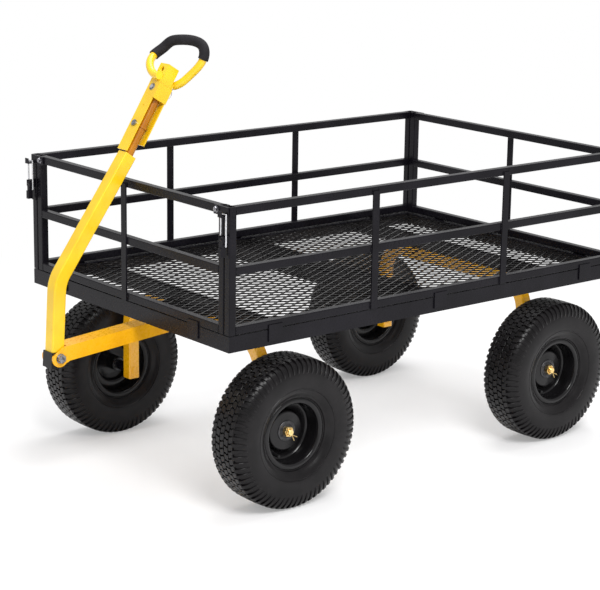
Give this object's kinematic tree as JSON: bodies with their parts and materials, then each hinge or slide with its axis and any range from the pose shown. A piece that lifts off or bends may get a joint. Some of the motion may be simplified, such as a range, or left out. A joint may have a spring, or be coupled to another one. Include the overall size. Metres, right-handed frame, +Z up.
{
  "type": "garden cart",
  "caption": "Four-wheeled steel garden cart with a mesh deck, latched rail sides, a steered front axle and a pull handle whose grip swings off a tow clevis.",
  "frame": {"origin": "centre of the whole cart's footprint on the ground", "axes": "+X forward, towards the pull handle; +Y to the cart's left; +Z up"},
  "size_m": [1.582, 0.8652, 1.119],
  "materials": {
    "frame_black": "satin black powder coat",
    "yellow": "gloss yellow powder coat",
    "mesh_black": "satin black powder coat",
    "tyre": "matt rubber",
    "foam": "matt closed-cell foam",
    "zinc": "bright zinc plate",
    "gold_zinc": "yellow zinc plate",
    "bearing_steel": "ground steel",
    "black_plastic": "moulded black plastic"
  },
  "bodies": {
    "deck": {"rim_side_rails": "frame_black", "rim_end_rails": "frame_black", "deck_mesh": "mesh_black", "cross_members": "frame_black", "turntable_bolster": "frame_black", "kingpin": "zinc", "front_panel_rails": "frame_black", "front_panel_posts": "frame_black", "rear_panel_rails": "frame_black", "rear_panel_posts": "frame_black", "latch_hooks": "frame_black", "latch_hook_bolts": "zinc", "rear_axle_frame": "yellow", "rear_stub_axles": "frame_black", "rear_axle_fasteners": "gold_zinc"},
    "left_panel": {"left_panel_rails": "frame_black", "left_panel_posts": "frame_black", "left_latch_bases": "frame_black"},
    "right_panel": {"right_panel_rails": "frame_black", "right_panel_posts": "frame_black", "right_latch_bases": "frame_black"},
    "front_axle": {"front_axle_frame": "yellow", "front_stub_axles": "frame_black", "front_axle_fasteners": "gold_zinc", "turntable_plate": "yellow", "tongue": "yellow", "tongue_bolt": "zinc"},
    "front_left_lever": {"front_left_lever": "frame_black"},
    "front_left_bail": {"front_left_bail": "zinc"},
    "front_left_wheel": {"front_left_tyre": "tyre", "front_left_rim": "frame_black", "front_left_bearings": "bearing_steel"},
    "front_right_lever": {"front_right_lever": "frame_black"},
    "front_right_bail": {"front_right_bail": "zinc"},
    "front_right_wheel": {"front_right_tyre": "tyre", "front_right_rim": "frame_black", "front_right_bearings": "bearing_steel"},
    "rear_left_lever": {"rear_left_lever": "frame_black"},
    "rear_left_bail": {"rear_left_bail": "zinc"},
    "rear_left_wheel": {"rear_left_tyre": "tyre", "rear_left_rim": "frame_black", "rear_left_bearings": "bearing_steel"},
    "rear_right_lever": {"rear_right_lever": "frame_black"},
    "rear_right_bail": {"rear_right_bail": "zinc"},
    "rear_right_wheel": {"rear_right_tyre": "tyre", "rear_right_rim": "frame_black", "rear_right_bearings": "bearing_steel"},
    "handle": {"handle_tube": "yellow", "handle_end_cap": "black_plastic", "draw_tube": "yellow", "tow_clevis": "yellow", "grip_pivot_bolt": "zinc"},
    "grip": {"grip_yoke": "yellow", "grip_loop": "yellow", "foam_grip": "foam"},
    "lock_pin": {"lock_pin": "zinc", "lock_pin_ring": "zinc"}
  },
  "joints": [
    {"name": "steering", "type": "hinge", "parent": "deck", "child": "front_axle", "pos_m": [0.35152, 0, 0.4], "axis": [0, 0, 1], "range_deg": [-10, 10]},
    {"name": "handle_hinge", "type": "hinge", "parent": "front_axle", "child": "handle", "pos_m": [0.76752, 0, 0.361], "axis": [0, 1, 0], "range_deg": [0, 140]},
    {"name": "grip_swing", "type": "hinge", "parent": "handle", "child": "grip", "pos_m": [0.5118, 0, 0.90129], "axis": [-0.848, 0, -0.5299], "range_deg": [0, 90]},
    {"name": "lock_pin_slide", "type": "slide", "parent": "grip", "child": "lock_pin", "axis": [-0.848, 0, -0.5299], "range_m": [0, 0.055]},
    {"name": "front_left_wheel_spin", "type": "hinge", "parent": "front_axle", "child": "front_left_wheel", "pos_m": [0.35152, 0.3736, 0.1905], "axis": [0, 1, 0], "continuous": true},
    {"name": "front_right_wheel_spin", "type": "hinge", "parent": "front_axle", "child": "front_right_wheel", "pos_m": [0.35152, -0.3736, 0.1905], "axis": [0, 1, 0], "continuous": true},
    {"name": "rear_left_wheel_spin", "type": "hinge", "parent": "deck", "child": "rear_left_wheel", "pos_m": [-0.55848, 0.3736, 0.1905], "axis": [0, 1, 0], "continuous": true},
    {"name": "rear_right_wheel_spin", "type": "hinge", "parent": "deck", "child": "rear_right_wheel", "pos_m": [-0.55848, -0.3736, 0.1905], "axis": [0, 1, 0], "continuous": true},
    {"name": "left_panel_lift", "type": "slide", "parent": "deck", "child": "left_panel", "axis": [0, 0, 1], "range_m": [0, 0.042]},
    {"name": "right_panel_lift", "type": "slide", "parent": "deck", "child": "right_panel", "axis": [0, 0, 1], "range_m": [0, 0.042]},
    {"name": "front_left_latch", "type": "hinge", "parent": "left_panel", "child": "front_left_lever", "pos_m": [0.57552, 0.418, 0.703], "axis": [0, -1, 0], "range_deg": [0, 110]},
    {"name": "front_left_bail_turn", "type": "hinge", "parent": "front_left_lever", "child": "front_left_bail", "pos_m": [0.57252, 0.418, 0.687], "axis": [0, -1, 0], "range_deg": [-96, 0]},
    {"name": "front_right_latch", "type": "hinge", "parent": "right_panel", "child": "front_right_lever", "pos_m": [0.57552, -0.418, 0.703], "axis": [0, -1, 0], "range_deg": [0, 110]},
    {"name": "front_right_bail_turn", "type": "hinge", "parent": "front_right_lever", "child": "front_right_bail", "pos_m": [0.57252, -0.418, 0.687], "axis": [0, -1, 0], "range_deg": [-96, 0]},
    {"name": "rear_left_latch", "type": "hinge", "parent": "left_panel", "child": "rear_left_lever", "pos_m": [-0.78248, 0.418, 0.703], "axis": [0, 1, 0], "range_deg": [0, 110]},
    {"name": "rear_left_bail_turn", "type": "hinge", "parent": "rear_left_lever", "child": "rear_left_bail", "pos_m": [-0.77948, 0.418, 0.687], "axis": [0, 1, 0], "range_deg": [-96, 0]},
    {"name": "rear_right_latch", "type": "hinge", "parent": "right_panel", "child": "rear_right_lever", "pos_m": [-0.78248, -0.418, 0.703], "axis": [0, 1, 0], "range_deg": [0, 110]},
    {"name": "rear_right_bail_turn", "type": "hinge", "parent": "rear_right_lever", "child": "rear_right_bail", "pos_m": [-0.77948, -0.418, 0.687], "axis": [0, 1, 0], "range_deg": [-96, 0]}
  ],
  "couplings": [
    {"joint": "front_left_bail_turn", "follows": "front_left_latch", "ratio": -0.86},
    {"joint": "front_right_bail_turn", "follows": "front_right_latch", "ratio": -0.86},
    {"joint": "rear_left_bail_turn", "follows": "rear_left_latch", "ratio": -0.86},
    {"joint": "rear_right_bail_turn", "follows": "rear_right_latch", "ratio": -0.86}
  ]
}
